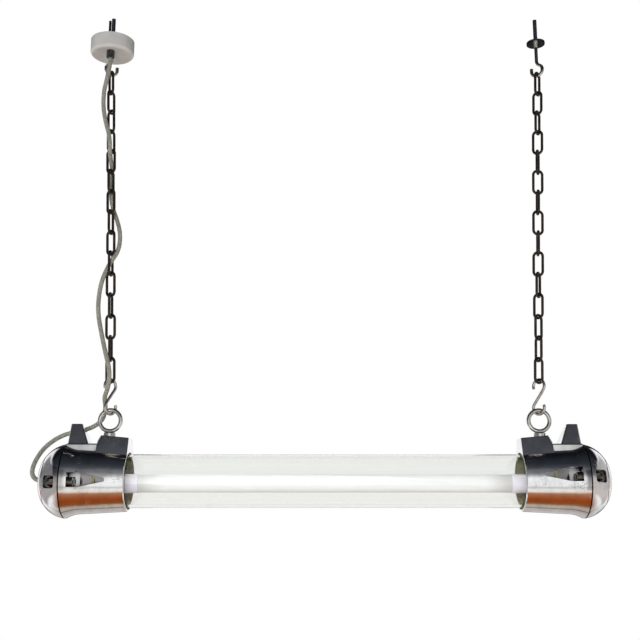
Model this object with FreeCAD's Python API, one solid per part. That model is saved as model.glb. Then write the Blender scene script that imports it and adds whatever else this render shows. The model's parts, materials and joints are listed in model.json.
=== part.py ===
import FreeCAD, Part
import math
import os

os.makedirs("parts", exist_ok=True)
Vector = FreeCAD.Vector

# A hanging shop light: a fluorescent-size tube lamp inside a clear glass tube, held between two cast
# end caps and hung from two chains. Millimetres and degrees. The origin is on the ceiling, midway
# between the two hooks' studs: +X runs along the lamp, +Z is up and the viewer stands at -Y.

# Lengths along the lamp, from its middle.
opening_x = 277.5            # plane where the glass enters each cast housing
housing_length = 87.5
seam_x = opening_x + housing_length    # joint face between a housing and its cover
dome_length = 37.0
lamp_body_half = opening_x + 17.5      # half of a 590 mm tube lamp, without its pins
lamp_cap_length = 31.0
glass_insertion = 40.0       # how far the glass goes into a housing

# Radii and walls of the glass, the cast housings and the covers. They grow with the glass.
glass_radius = 37.5
glass_wall = 3.5
bore_radius = glass_radius + 2.5
chamber_radius = bore_radius + 1.0
mouth_radius = bore_radius + 2.7
waist_radius = bore_radius + 6.0
rim_radius = bore_radius + 12.0
flare_length = 24.0          # over which a housing widens from the waist to the seam
seam_bevel = 0.9             # broken edge on both sides of the seam
spine_top = rim_radius - 0.2           # rib along the top of a housing, from under its lug to its eye boss
spine_width = 36.0
spine_edge = 2.0
web_thickness = 4.0          # wall between the glass and the wiring chamber
cover_wall = 5.5
disc_radius = bore_radius - 3.5        # flatter round face at the end of each cover
disc_rise = 9.0
groove_width = 1.8
groove_depth = 1.4
clear_of_casting = rim_radius + 8.0    # how far out a cutting shape reaches

# Seals and lamp.
seal_length = 14.0
seal_clearance = 0.1
cushion_thickness = 3.6
cushion_clearance = 0.2
gasket_width = 3.0
gasket_depth = 2.0
gasket_radius = rim_radius - 4.0
gasket_clearance = 0.1
lamp_drop = 3.5              # the lamp lies this much under the axis of the glass
lamp_tube_radius = 12.7
lamp_cap_radius = lamp_tube_radius + 0.7
pin_spacing = 12.7
pin_radius = 1.2
pin_length = 7.0

# Lampholders and their brackets.
holder_radius = lamp_tube_radius + 1.8
holder_length = 18.0
holder_gap = 0.6             # between the end of the lamp and its holder
rotor_radius = 8.0
rotor_length = 9.0
running_gap = 0.2
foot_depth = holder_radius + 3.8       # from the lamp housing's axis down to the foot of the holder
bracket_thickness = 1.5
bracket_radius = 29.5
bracket_hole_radius = 12.0
tongue_width = 14.0
web_hole_radius = math.hypot(foot_depth + bracket_thickness, tongue_width / 2) + 0.5
screw_radius = 2.0
screw_head_radius = 3.5
screw_head_height = 2.4
screw_circle = 25.5
terminal_height = 18.5
terminal_screw_radius = 2.2
terminal_places = (-8.5, 0, 8.5)

# Cover bolts, three to a cover. Each slides in along the scoop in its housing, and its nut lies in a
# square pocket in the cover.
bolt_circle = bore_radius
bolt_radius = 4.0
bolt_head_radius = 6.5
bolt_head_height = 8.0
bolt_socket_flat = 6.0       # hexagonal socket for a key, in the end of the head
bolt_socket_depth = 4.5
bolt_seat = 10.0             # housing metal between the seam and the bolt's head
bolt_clearance = 0.4
thread_clearance = 0.06
cover_flange = 7.0           # cover metal under the nut
seat_pad = 0.8               # raised round seat under each nut
nut_flat = 13.0              # across the cap nut's six flats
nut_height = 6.5             # of those flats
cap_radius = 5.9
cap_height = 6.0             # of the cap nut's closed dome, above its flats
cap_round = 4.6
nut_chamfer = 0.9
thread_depth = 9.5           # inside the cap nut
pocket_floor = bolt_circle - nut_flat / 2 - 0.3
pocket_width = 17.5
pocket_length = 16.0
pocket_corner = 3.5
scoop_width = 20.0
scoop_rise = 3.0             # how far round from its bolt's axis the middle of a scoop lies
scoop_length = 52.0
scoop_flat = 16.0            # level part of a scoop's floor, under the bolt's head
scoop_tip = 3.0
scoop_wall = 3.5
boss_width = 26.0            # of the bosses in a cover
boss_floor = bolt_circle - 10.0
left_clock = -3.0           # how far round each cap's bolts are turned upwards
right_clock = 7.0

# Eyebolts, their bosses and the cast lugs.
eye_inset = 30.5             # eyebolt axis, from the opening plane
eye_height = waist_radius + 39.5       # centre of the eye above the lamp's axis
eye_radius = 15.0            # of the wire's centre line
eye_wire = 6.0
collar_radius = 8.4
boss_top = waist_radius + 17.0
eye_boss_length = 40.0
eye_boss_width = 27.0        # across its top; its sides lean out from there
boss_lean = 21.0
boss_slope = 5.5             # its top falls towards the glass by this angle
boss_corner = 5.0            # rounding of its upright corners
boss_edge = 2.0              # and of its rim
eye_shank_length = 16.0
lug_top = waist_radius + 34.5
lug_base_near, lug_base_far = 1.8, 31.5
lug_top_near, lug_top_far = 2.8, 18.8
lug_base_width, lug_top_width = 34.0, 11.5

# Chains, S-hooks and ceiling hooks.
hook_spacing = 660.0
hook_drop = 56.0             # from the ceiling to the centre of the hook's wire where the chain hangs
hook_wire = 5.0
hook_bend = 9.0
flange_radius = 14.0
flange_thickness = 3.0
stud_radius = 3.0
stud_length = 38.0
link_pitch = 32.0
link_wire = 4.0
link_width = 17.5
links_per_chain = 15
s_wire = 4.5
s_bend = 9.5
s_span = 50.3                # between the wire's centres at the two bends
s_turn = 50.0
wire_gap = 0.3               # between wires that bear on each other
eye_gap = 0.5                # between an S-hook and its eye, which also frees the second chain's lower end
left_turns = [-24, 89, -18, 84, -25, 81, -31, 76, -32, 70, -26, 59, -40, 62, -55]
right_turns = [28, -68, 38, -43, 57, -27, 85, 0, 88, 0, 66, -27, 53, -43, 50]

# Ceiling rose over the left hook.
rose_radius = 33.0
rose_depth = 24.0
rose_wall = 1.6
rose_base_thickness = 2.0
rose_clearance = 0.2
rose_hole_radius = 3.6
rose_screw_circle = 23.0
rose_screw_length = 24.0
grip_radius = 6.0
grip_length = 12.0

# Gland on the left cover and plug on the right one.
gland_radius = 8.0
gland_flange_radius = 10.5
gland_flange = 1.5
gland_flat = 19.0
gland_nut_height = 5.0
spot_face_depth = 1.0
gland_seal_radius = 5.5
gland_seal_depth = 8.0

# The cord's centre line from inside the gland to the rose, chosen point by point along the photographed
# route. It weaves through the left chain. Round the cap, a point is (distance out past the cover's tip,
# y, height above the lamp's axis or the waist). Beside the S-hook it is (distance to the right of the
# chain's line, y, distance up it from the eye's centre), and beside the chain the last of these is
# counted in links from the first one's middle. Under the rose it is measured from the hook's stud.
cord_diameter = 6.3
cord_gap = 0.25
gland_points = [(-8, 0, 0), (6, 0, 0), (15.3, 2.4, 9.5), (13.8, 7.5, 26)]
loop_points = [(3, 14.5, 2), (-18, 20, 19), (-41, 20.5, 25.5), (-64, 14.5, 29.5)]
eye_points = [(-12.13, 9.4, 2), (-8.48, 7.9, 20.17)]
hook_points = [(-7.81, -3.6, 33.85), (0.62, -13.2, 49.02)]
lower_points = [(1.39, -12.2, -0.02), (-4.5, -10.6, 0.675), (-12.74, -3.6, 1.718), (-18.5, 0, 2.664),
                (-17.87, 0.8, 3.445), (-12.44, -2.3, 4.22), (-1.42, -1.3, 4.988), (11.51, 1.9, 5.612),
                (13.96, 3.1, 6.407), (7.46, 10.5, 7.166)]
upper_points = [(-0.47, 12.7, 7.833), (-2.68, 11.2, 8.586), (0.15, 11.5, 9.593), (-0.09, -7.5, 10.247),
                (0.79, -13.1, 11.068), (-7.23, -8.8, 11.97), (-10.8, -7.8, 12.756), (-8.65, -10.8, 13.473)]
top_points = [(-3, -13.4, -67.55), (1, -15.8, -45.55)]


def turn_x(shape, degrees):
    shape.rotate(Vector(0, 0, 0), Vector(1, 0, 0), degrees)
    return shape


def rod(radius, start, end):
    span = end - start
    return Part.makeCylinder(radius, span.Length, start, span)


def block(low, high):
    return Part.makeBox(high[0] - low[0], high[1] - low[1], high[2] - low[2], Vector(*low))


def prism(flat, height, base, sides=6):
    """A hexagonal bar along +X, with one flat facing away from the axis of the lamp."""
    corner = flat / 2 / math.cos(math.pi / sides)
    angles = [2 * math.pi * (i + 0.5) / sides for i in range(sides + 1)]
    points = [base + Vector(0, corner * math.cos(a), corner * math.sin(a)) for a in angles]
    return Part.Face(Part.makePolygon(points)).extrude(Vector(height, 0, 0))


def turned(steps):
    """Turns a closed outline about the lamp's axis. A step is a point (x, radius), or three numbers more:
    (x, radius, x through, radius through) is an arc to that point."""
    edges = []
    last = Vector(steps[0][0], 0, steps[0][1])
    for step in steps[1:] + steps[:1]:
        here = Vector(step[0], 0, step[1])
        if len(step) == 4:
            edges.append(Part.Arc(last, Vector(step[2], 0, step[3]), here).toShape())
        else:
            edges.append(Part.LineSegment(last, here).toShape())
        last = here
    return Part.Face(Part.Wire(edges)).revolve(Vector(0, 0, 0), Vector(1, 0, 0), 360)


def ring(inner, outer, start, end):
    return turned([(start, inner), (start, outer), (end, outer), (end, inner)])


def swept(edges, radius):
    first = edges[0]
    start = first.valueAt(first.FirstParameter)
    heading = first.tangentAt(first.FirstParameter)
    section = Part.Wire(Part.Circle(start, heading, radius).toShape())
    return Part.Wire(edges).makePipeShell([section], True, False)


def arc(centre, radius, start, end, across, up):
    """An arc in the plane of two unit vectors, from one angle in degrees to another."""
    def at(angle):
        a = math.radians(angle)
        return centre + across * (radius * math.cos(a)) + up * (radius * math.sin(a))
    return Part.Arc(at(start), at((start + end) / 2), at(end)).toShape()


# The chains lean outwards, because the ceiling hooks are further apart than the eyebolts.
up = Vector(0, 0, 1)
eye_x = opening_x + eye_inset
glass_end = opening_x + glass_insertion
seal_x = opening_x + 2
cushion_x = glass_end + cushion_clearance
web_x = cushion_x + cushion_thickness + cushion_clearance
web_face = web_x + web_thickness
bracket_face = web_face + bracket_thickness
holder_x = lamp_body_half + holder_gap
lamp_glass_half = lamp_body_half - lamp_cap_length
cap_tip = seam_x + dome_length
gland_seat = cap_tip - spot_face_depth
s_low = eye_radius - eye_wire / 2 - eye_gap - s_wire / 2
s_high = s_low + s_span
link_crown = link_pitch / 2 + wire_gap / 2 + link_wire / 2
first_link = s_high - s_wire / 2 - wire_gap - link_wire / 2 + link_crown
last_link = first_link + link_pitch * (links_per_chain - 1)
reach = last_link + link_crown - link_wire / 2 - wire_gap - hook_wire / 2
lean = math.degrees(math.asin((hook_spacing / 2 - eye_x) / reach))
lamp_z = -hook_drop - reach * math.cos(math.radians(lean)) - eye_height


def on_chain(shape, along, turn, side):
    """Turns a piece made upright at the origin, leans it and puts it on its chain's line."""
    shape.rotate(Vector(0, 0, 0), up, turn)
    shape.rotate(Vector(0, 0, 0), Vector(0, 1, 0), side * lean)
    tilt = math.radians(lean)
    shape.translate(Vector(side * (eye_x + along * math.sin(tilt)), 0,
                           lamp_z + eye_height + along * math.cos(tilt)))
    return shape


def link(along, turn, side):
    bend = link_width / 2 - link_wire / 2
    straight = link_crown - bend
    across = Vector(1, 0, 0)
    top, bottom = up * straight, up * -straight
    edges = [arc(top, bend, 0, 180, across, up),
             Part.LineSegment(top - across * bend, bottom - across * bend).toShape(),
             arc(bottom, bend, 180, 360, across, up),
             Part.LineSegment(bottom + across * bend, top + across * bend).toShape()]
    return on_chain(swept(edges, link_wire / 2), along, turn, side)


def s_hook(side):
    across = Vector(1, 0, 0)
    low, high = up * s_bend, up * (s_span - s_bend)
    lean_in = math.degrees(math.acos(s_bend / (s_span / 2 - s_bend))) - 90
    tip_angle = 22
    leaves = high + across * (s_bend * math.cos(math.radians(lean_in))) \
        + up * (s_bend * math.sin(math.radians(lean_in)))
    meets = low + high - leaves
    edges = [arc(high, s_bend, 180 + tip_angle, lean_in, across, up),
             Part.LineSegment(leaves, meets).toShape(),
             arc(low, s_bend, 180 + lean_in, 360 + tip_angle, across, up)]
    return on_chain(swept(edges, s_wire / 2), s_low, side * -s_turn, side)


def ceiling_hook(side, turn):
    """A screw-in hook: stud, flange, shank, a sideways step and the bend that carries the chain."""
    across = Vector(1, 0, 0)
    step = 60
    half = hook_bend * math.sin(math.radians(step))
    bend = up * (hook_bend - hook_drop)
    knee = bend + up * (2 * half)
    middle = bend - across * (hook_bend / 2) + up * half
    half_turn = math.radians(step / 2)
    part_way = Vector(hook_bend * (1 - math.cos(half_turn)), 0, hook_bend * math.sin(half_turn))
    upper = knee - part_way
    lower = bend - across * hook_bend + part_way
    edges = [Part.LineSegment(up * (-flange_thickness / 2), knee).toShape(),
             Part.Arc(knee, upper, middle).toShape(),
             Part.Arc(middle, lower, bend - across * hook_bend).toShape(),
             arc(bend, hook_bend, 180, 360, across, up),
             Part.LineSegment(bend + across * hook_bend, bend + across * hook_bend + up * 5).toShape()]
    hook = swept(edges, hook_wire / 2)
    flange = Part.makeCylinder(flange_radius, flange_thickness, -up * flange_thickness)
    stud = Part.makeCylinder(stud_radius, stud_length + flange_thickness / 2, up * (-flange_thickness / 2))
    hook = hook.fuse([flange, stud]).removeSplitter()
    hook.rotate(Vector(0, 0, 0), up, turn)
    hook.translate(Vector(side * hook_spacing / 2, 0, 0))
    return hook


def cap_angles(side):
    """Directions of the three bolts about the lamp's axis, as angles from -Y turned towards +Z."""
    clock = left_clock if side < 0 else right_clock
    return [clock, clock + 120, clock + 240]


def round_cap(make, side):
    """Makes a piece for each bolt, pointing at -Y, and turns it to its place."""
    return [turn_x(make(), -angle) for angle in cap_angles(side)]


def housing_outline():
    flare = seam_x - flare_length
    rim = seam_x - seam_bevel
    return turned([(opening_x, 0), (opening_x, mouth_radius - 1), (opening_x + 1, mouth_radius),
                   (flare, waist_radius), (rim, rim_radius, seam_x - flare_length / 2, waist_radius + 1.4),
                   (seam_x, rim_radius - seam_bevel), (seam_x, 0)])


def tapered(low, low_z, high, high_z):
    """A solid between two level rectangles, each given as (x1, x2, width)."""
    outlines = []
    for (near, far, width), z in ((low, low_z), (high, high_z)):
        corners = [(near, -width / 2), (near, width / 2), (far, width / 2), (far, -width / 2)]
        outlines.append(Part.makePolygon([Vector(x, y, z) for x, y in corners + corners[:1]]))
    return Part.makeLoft(outlines, True, True)


def eye_boss():
    base_z = waist_radius - 12
    far = opening_x + eye_boss_length
    lean = math.tan(math.radians(boss_lean))
    spread = (boss_top + 4 - base_z) * lean
    width = eye_boss_width - 8 * lean
    shape = tapered((opening_x, far + spread, width + 2 * spread), base_z,
                    (opening_x, far, width), boss_top + 4)
    corners = [e for e in shape.Edges if e.BoundBox.ZLength > 1 and e.BoundBox.XMax > far]
    shape = shape.makeFillet(boss_corner, corners)
    above = block((opening_x - 20, -60, boss_top), (far + 20, 60, boss_top + 20))
    above.rotate(Vector(eye_x, 0, boss_top), Vector(0, 1, 0), -boss_slope)
    shape = shape.cut(above)
    rim = [e for e in shape.Edges if e.BoundBox.ZMin > boss_top - 4]
    shape = shape.makeFillet(boss_edge, rim)
    upright_below = block((opening_x - 1, -60, base_z - 1),
                          (far + (boss_top - spine_top) * lean, 60, boss_top + 5))
    spot_face = rod(collar_radius + 1, Vector(eye_x, 0, boss_top), Vector(eye_x, 0, boss_top + 9))
    return shape.common(upright_below).cut(spot_face)


def cast_lug():
    shape = tapered((seam_x - lug_base_far, seam_x - lug_base_near, lug_base_width), spine_top - 1,
                    (seam_x - lug_top_far, seam_x - lug_top_near, lug_top_width), lug_top)
    sloping = [e for e in shape.Edges if e.BoundBox.ZLength > 1]
    shape = shape.makeFillet(2.5, sloping)
    return shape.makeFillet(1.5, [e for e in shape.Edges if e.BoundBox.ZMin > lug_top - 0.01])


def spine():
    shape = block((opening_x + eye_boss_length, -spine_width / 2, waist_radius - 10),
                  (seam_x - seam_bevel, spine_width / 2, spine_top))
    long_edges = [e for e in shape.Edges if e.BoundBox.ZMin > spine_top - 0.01 and e.BoundBox.XLength > 1]
    return shape.makeFillet(spine_edge, long_edges)


def bolt_scoop():
    """The scoop in a housing that a bolt slides in by: blunt at the seam, running out to nothing."""
    start = seam_x - bolt_seat
    end = start - scoop_length
    level = start - scoop_flat
    taper = (waist_radius - mouth_radius) / (housing_length - flare_length)
    runs_out = mouth_radius + (end - opening_x) * taper
    side_view = [(start, pocket_floor), (level, pocket_floor), (end, runs_out),
                 (end, clear_of_casting), (start, clear_of_casting)]
    points = [Vector(x, 30, -r) for x, r in side_view + side_view[:1]]
    scoop = Part.Face(Part.makePolygon(points)).extrude(Vector(0, -60, 0))
    half, tip = scoop_width / 2, scoop_tip
    edges = [Part.LineSegment(Vector(start, -half, 0), Vector(start, half, 0)).toShape(),
             Part.LineSegment(Vector(start, half, 0), Vector(level, half, 0)).toShape(),
             Part.LineSegment(Vector(level, half, 0), Vector(end + tip, tip, 0)).toShape(),
             Part.Arc(Vector(end + tip, tip, 0), Vector(end, 0, 0), Vector(end + tip, -tip, 0)).toShape(),
             Part.LineSegment(Vector(end + tip, -tip, 0), Vector(level, -half, 0)).toShape(),
             Part.LineSegment(Vector(level, -half, 0), Vector(start, -half, 0)).toShape()]
    plan = Part.Face(Part.Wire(edges)).extrude(Vector(0, 0, -clear_of_casting - 10))
    plan.translate(Vector(0, -scoop_rise, 0))
    shape = scoop.common(plan)
    shape.rotate(Vector(0, 0, 0), Vector(1, 0, 0), -90)
    return shape


def housing(side):
    outside = housing_outline()
    cavity = ring(0, bore_radius, opening_x - 1, web_x)
    cavity = cavity.fuse(rod(web_hole_radius, Vector(web_x - 1, 0, 0), Vector(web_face + 1, 0, 0)))
    chamber = ring(0, chamber_radius, web_face, seam_x + 1)

    def bolt_boss():
        half = scoop_width / 2 + scoop_wall
        return block((web_x, -clear_of_casting, scoop_rise - half), (seam_x, -boss_floor, scoop_rise + half))

    def bolt_hole():
        return rod(bolt_radius + bolt_clearance, Vector(seam_x + 1, -bolt_circle, 0),
                   Vector(seam_x - bolt_seat - 1, -bolt_circle, 0))
    bosses = [shape.common(outside) for shape in round_cap(bolt_boss, side)]
    top = eye_boss().fuse([cast_lug(), spine()]).cut(outside)
    shape = outside.cut([cavity, chamber]).fuse(bosses + [top])
    holes = round_cap(bolt_hole, side) + round_cap(bolt_scoop, side)
    holes.append(rod(bolt_radius + 0.05, Vector(eye_x, 0, boss_top + 1),
                     Vector(eye_x, 0, boss_top - eye_shank_length - 2)))
    for angle in bracket_screw_angles(side):
        hole = rod(screw_radius, Vector(web_x - 1, 0, screw_circle), Vector(web_face + 1, 0, screw_circle))
        holes.append(turn_x(hole, -angle))
    return shape.cut(holes).removeSplitter()


def cover(side):
    shoulder = cap_tip - disc_rise
    tip = cap_tip
    edge = disc_radius + groove_width
    outside = turned([(seam_x, 0), (seam_x, rim_radius - seam_bevel), (seam_x + seam_bevel, rim_radius),
                      (shoulder - 1.5, edge, seam_x + 15, rim_radius - 4.6),
                      (shoulder - 1.5 - groove_depth, edge), (shoulder - 1.5 - groove_depth, disc_radius),
                      (shoulder, disc_radius), (tip - 0.4, 12, shoulder + 0.75 * disc_rise, disc_radius - 11.4),
                      (gland_seat, 12), (gland_seat, 0)])
    inner = rim_radius - 10
    cavity = turned([(seam_x - 1, 0), (seam_x - 1, inner), (seam_x + 7, inner),
                     (shoulder - cover_wall + 1, disc_radius - cover_wall - 2, seam_x + 15, inner - 5),
                     (tip - cover_wall, 14, shoulder + 1, disc_radius - 12.5), (tip - cover_wall, 0)])

    def bolt_boss():
        return block((seam_x, -clear_of_casting, -boss_width / 2), (seam_x + 26, -boss_floor, boss_width / 2))

    def bolt_hole():
        return rod(bolt_radius + bolt_clearance, Vector(seam_x - 1, -bolt_circle, 0),
                   Vector(seam_x + cover_flange + 1, -bolt_circle, 0))

    def nut_pocket():
        half = pocket_width / 2
        start = seam_x + cover_flange
        shape = block((start - seat_pad, -clear_of_casting, -half),
                      (start + pocket_length, -pocket_floor, half))
        corners = [e for e in shape.Edges if abs(e.tangentAt(e.FirstParameter).y) > 0.9]
        pad = rod(nut_flat / 2 + 0.3, Vector(start - 2, -bolt_circle, 0), Vector(start, -bolt_circle, 0))
        return shape.makeFillet(pocket_corner, corners).cut(pad)
    bosses = [shape.common(outside) for shape in round_cap(bolt_boss, side)]
    shape = outside.cut(cavity).fuse(bosses)
    groove = ring(gasket_radius - gasket_width / 2, gasket_radius + gasket_width / 2,
                  seam_x - 1, seam_x + gasket_depth)
    hole = rod(gland_radius + 0.1, Vector(tip - 12, 0, 0), Vector(tip + 1, 0, 0))
    return shape.cut(round_cap(bolt_hole, side) + round_cap(nut_pocket, side) + [groove, hole]) \
        .removeSplitter()


def cover_gasket():
    half = gasket_width / 2 - gasket_clearance
    return ring(gasket_radius - half, gasket_radius + half, seam_x, seam_x + gasket_depth)


def cover_bolt():
    seat = seam_x - bolt_seat
    end = seam_x + cover_flange + thread_depth - 0.5
    shank = rod(bolt_radius, Vector(seat - 1, -bolt_circle, 0), Vector(end, -bolt_circle, 0))
    top = seat - bolt_head_height
    head = rod(bolt_head_radius, Vector(top, -bolt_circle, 0), Vector(seat, -bolt_circle, 0))
    head = head.makeFillet(0.8, [e for e in head.Edges if e.BoundBox.XMax < top + 0.01])
    socket = prism(bolt_socket_flat, bolt_socket_depth + 1, Vector(top - 1, -bolt_circle, 0))
    return head.fuse(shank).cut(socket).removeSplitter()


def cover_nut():
    """A cap nut: six flats against the cover and a closed dome beyond them."""
    seat = seam_x + cover_flange
    flats_end = seat + nut_height
    corner = nut_flat / 2 / math.cos(math.radians(30))
    shape = prism(nut_flat, nut_height, Vector(seat, 0, 0))
    shape = shape.common(turned([(seat, 0), (seat, corner), (flats_end - nut_chamfer, corner),
                                 (flats_end, corner - nut_chamfer), (flats_end, 0)]))
    cap = rod(cap_radius, Vector(flats_end - 1, 0, 0), Vector(flats_end + cap_height, 0, 0))
    rim = [e for e in cap.Edges if e.BoundBox.XMin > flats_end + 1]
    thread = rod(bolt_radius + thread_clearance, Vector(seat - 1, 0, 0), Vector(seat + thread_depth, 0, 0))
    shape = shape.fuse(cap.makeFillet(cap_round, rim)).cut(thread)
    shape.translate(Vector(0, -bolt_circle, 0))
    return shape


def eyebolt():
    centre = Vector(eye_x, 0, eye_height)
    eye = Part.makeTorus(eye_radius, eye_wire / 2, centre, Vector(0, 1, 0))
    collar = rod(collar_radius, Vector(eye_x, 0, boss_top),
                 Vector(eye_x, 0, eye_height - eye_radius - eye_wire / 2 + 1.0))
    top = [e for e in collar.Edges if e.BoundBox.ZMin > boss_top + 1]
    collar = collar.makeFillet(1.5, top)
    shank = rod(bolt_radius, Vector(eye_x, 0, boss_top + 1), Vector(eye_x, 0, boss_top - eye_shank_length))
    return eye.fuse([collar, shank]).removeSplitter()


def lamp_axis(x, height=0):
    """A point on the lamp's own axis, or above it."""
    return Vector(x, 0, height - lamp_drop)


def lampholder():
    body = rod(holder_radius, lamp_axis(holder_x), lamp_axis(holder_x + holder_length))
    foot = block((holder_x, -tongue_width / 2, -foot_depth),
                 (holder_x + holder_length, tongue_width / 2, -lamp_drop))
    bore = rod(rotor_radius + running_gap, lamp_axis(holder_x - 1),
               lamp_axis(holder_x + rotor_length + running_gap))
    middle = holder_x + holder_length / 2
    tapped = rod(screw_radius, Vector(middle, 0, -foot_depth - 1), Vector(middle, 0, -foot_depth + 5.5))
    return body.fuse(foot).cut([bore, tapped]).removeSplitter()


def lamp_rotor():
    body = rod(rotor_radius, lamp_axis(holder_x), lamp_axis(holder_x + rotor_length))
    holes = [rod(pin_radius + 0.1, lamp_axis(holder_x - 1, z), lamp_axis(holder_x + pin_length + 1, z))
             for z in (-pin_spacing / 2, pin_spacing / 2)]
    return body.cut(holes)


def holder_bracket():
    plate = ring(bracket_hole_radius, bracket_radius, web_face, bracket_face)
    tongue = block((holder_x, -tongue_width / 2, -foot_depth - bracket_thickness),
                   (bracket_face, tongue_width / 2, -foot_depth))
    middle = holder_x + holder_length / 2
    holes = [rod(screw_radius + 0.1, Vector(middle, 0, -foot_depth - 5), Vector(middle, 0, -foot_depth + 1))]
    for angle in bracket_screw_angles(1) + bracket_screw_angles(-1):
        hole = rod(screw_radius + 0.1, Vector(web_x, 0, screw_circle),
                   Vector(bracket_face + 1, 0, screw_circle))
        holes.append(turn_x(hole, -angle))
    return plate.fuse(tongue).cut(holes).removeSplitter()


def bracket_screw_angles(side):
    """Angles from +Z of the screws that hold a bracket, each midway between two bolt bosses."""
    return [angle + 150 for angle in cap_angles(side)]


def screw(head_at, points_to, length):
    """A pan-head screw with a slot, from the underside of its head to its tip."""
    way = Vector(*points_to)
    seat = Vector(*head_at)
    head = rod(screw_head_radius, seat, seat - way * screw_head_height)
    shank = rod(screw_radius - 0.05, seat - way * 0.5, seat + way * length)
    return head.fuse(shank).removeSplitter()


def bracket_screws(side):
    length = web_thickness + bracket_thickness - 0.5
    shapes = [turn_x(screw((bracket_face, 0, screw_circle), (-1, 0, 0), length), -angle)
              for angle in bracket_screw_angles(side)]
    middle = holder_x + holder_length / 2
    shapes.append(screw((middle, 0, -foot_depth - bracket_thickness), (0, 0, 1), 6.5))
    return shapes


def terminal_block():
    body = block((bracket_face, -13, terminal_height - 5), (bracket_face + 13, 13, terminal_height + 5))
    holes = [rod(terminal_screw_radius + 0.1, Vector(bracket_face + 14, y, terminal_height),
                 Vector(bracket_face + 3, y, terminal_height)) for y in terminal_places]
    return turn_x(body.cut(holes), -terminal_angle)


def terminal_screws():
    return [turn_x(rod(terminal_screw_radius, Vector(bracket_face + 3, y, terminal_height),
                       Vector(bracket_face + 12, y, terminal_height)), -terminal_angle)
            for y in terminal_places]


def gland_body():
    shank = rod(gland_radius, Vector(gland_seat - 14, 0, 0), Vector(gland_seat + 1, 0, 0))
    flange = rod(gland_flange_radius, Vector(gland_seat, 0, 0), Vector(gland_seat + gland_flange, 0, 0))
    rim = [e for e in flange.Edges if e.BoundBox.XMin > gland_seat + gland_flange - 0.01]
    return shank.fuse(flange.makeFillet(0.7, rim)).removeSplitter()


def inner_nut():
    seat = cap_tip - cover_wall
    shape = prism(gland_flat, gland_nut_height, Vector(seat - gland_nut_height, 0, 0))
    return shape.cut(rod(gland_radius + 0.06, Vector(seat - 10, 0, 0), Vector(seat + 1, 0, 0)))


def cable_gland():
    bore = rod(cord_diameter / 2 + cord_gap, Vector(cap_tip - 40, 0, 0), Vector(cap_tip + 5, 0, 0))
    seal_seat = rod(gland_seal_radius + seal_clearance, Vector(cap_tip - 16, 0, 0),
                    Vector(cap_tip - gland_seal_depth, 0, 0))
    return gland_body().cut([bore, seal_seat])


def gland_seal():
    inner = cord_diameter / 2 + seal_clearance
    return ring(inner, gland_seal_radius, cap_tip - gland_seal_depth - 6, cap_tip - gland_seal_depth)


def blanking_plug():
    tip = gland_seat + gland_flange
    slot = block((tip - 1.0, -gland_flange_radius, -0.9), (tip + 1, gland_flange_radius, 0.9))
    return gland_body().cut(slot)


def rose_base():
    base = Part.makeCylinder(rose_radius - rose_wall - rose_clearance, rose_base_thickness,
                             -up * rose_base_thickness)
    hole = Part.makeCylinder(flange_radius + 0.5, 10, -up * 5)
    screws = [Part.makeCylinder(2.2, 10, Vector(0, y, -5)) for y in (-rose_screw_circle, rose_screw_circle)]
    return base.cut([hole] + screws)


def rose_screws():
    return [screw((0, y, -rose_base_thickness), (0, 0, 1), rose_screw_length)
            for y in (-rose_screw_circle, rose_screw_circle)]


def rose_cup():
    outside = Part.makeCylinder(rose_radius, rose_depth, -up * rose_depth)
    lower = [e for e in outside.Edges if e.BoundBox.ZMax < -rose_depth + 0.01]
    outside = outside.makeFillet(5.0, lower)
    inside = Part.makeCylinder(rose_radius - rose_wall, rose_depth, -up * (rose_depth - rose_wall))
    edge = [e for e in inside.Edges if e.BoundBox.ZMax < -rose_depth + rose_wall + 0.01]
    inside = inside.makeFillet(3.5, edge)
    centre = grip_centre()
    holes = [Part.makeCylinder(rose_hole_radius, 10, -up * (rose_depth + 4)),
             Part.makeCylinder(grip_radius - 1.5 + 0.1, 10, centre - up * (rose_depth + 4))]
    return outside.cut([inside] + holes)


def grip_centre():
    """Where the cord meets the rose, from the hook's axis."""
    x, y, _ = top_points[-1]
    return Vector(x, y, 0)


def cord_grip():
    centre = grip_centre()
    sleeve = Part.makeCylinder(grip_radius, grip_length, centre - up * (rose_depth + grip_length))
    lower = [e for e in sleeve.Edges if e.BoundBox.ZMax < -rose_depth - grip_length + 0.01]
    sleeve = sleeve.makeFillet(2.0, lower)
    neck = Part.makeCylinder(grip_radius - 1.5, rose_wall + 3.5, centre - up * (rose_depth + 0.5))
    bore = Part.makeCylinder(cord_diameter / 2 + cord_gap, 60, centre - up * 60)
    return sleeve.fuse(neck).cut(bore).removeSplitter()


def round_cover(points, height=0):
    """Cord points given from the tip of the left cover."""
    return [Vector(-cap_tip - out, y, lamp_z + height + z) for out, y, z in points]


def beside_chain(points, start=0.0, step=1.0):
    """Cord points given in the left chain's own directions, the last number in steps from start."""
    tilt = math.radians(lean)
    along, across = Vector(-math.sin(tilt), 0, math.cos(tilt)), Vector(math.cos(tilt), 0, math.sin(tilt))
    eye = Vector(-eye_x, 0, lamp_z + eye_height)
    return [eye + across * right + Vector(0, y, 0) + along * (start + step * distance)
            for right, y, distance in points]


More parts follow.
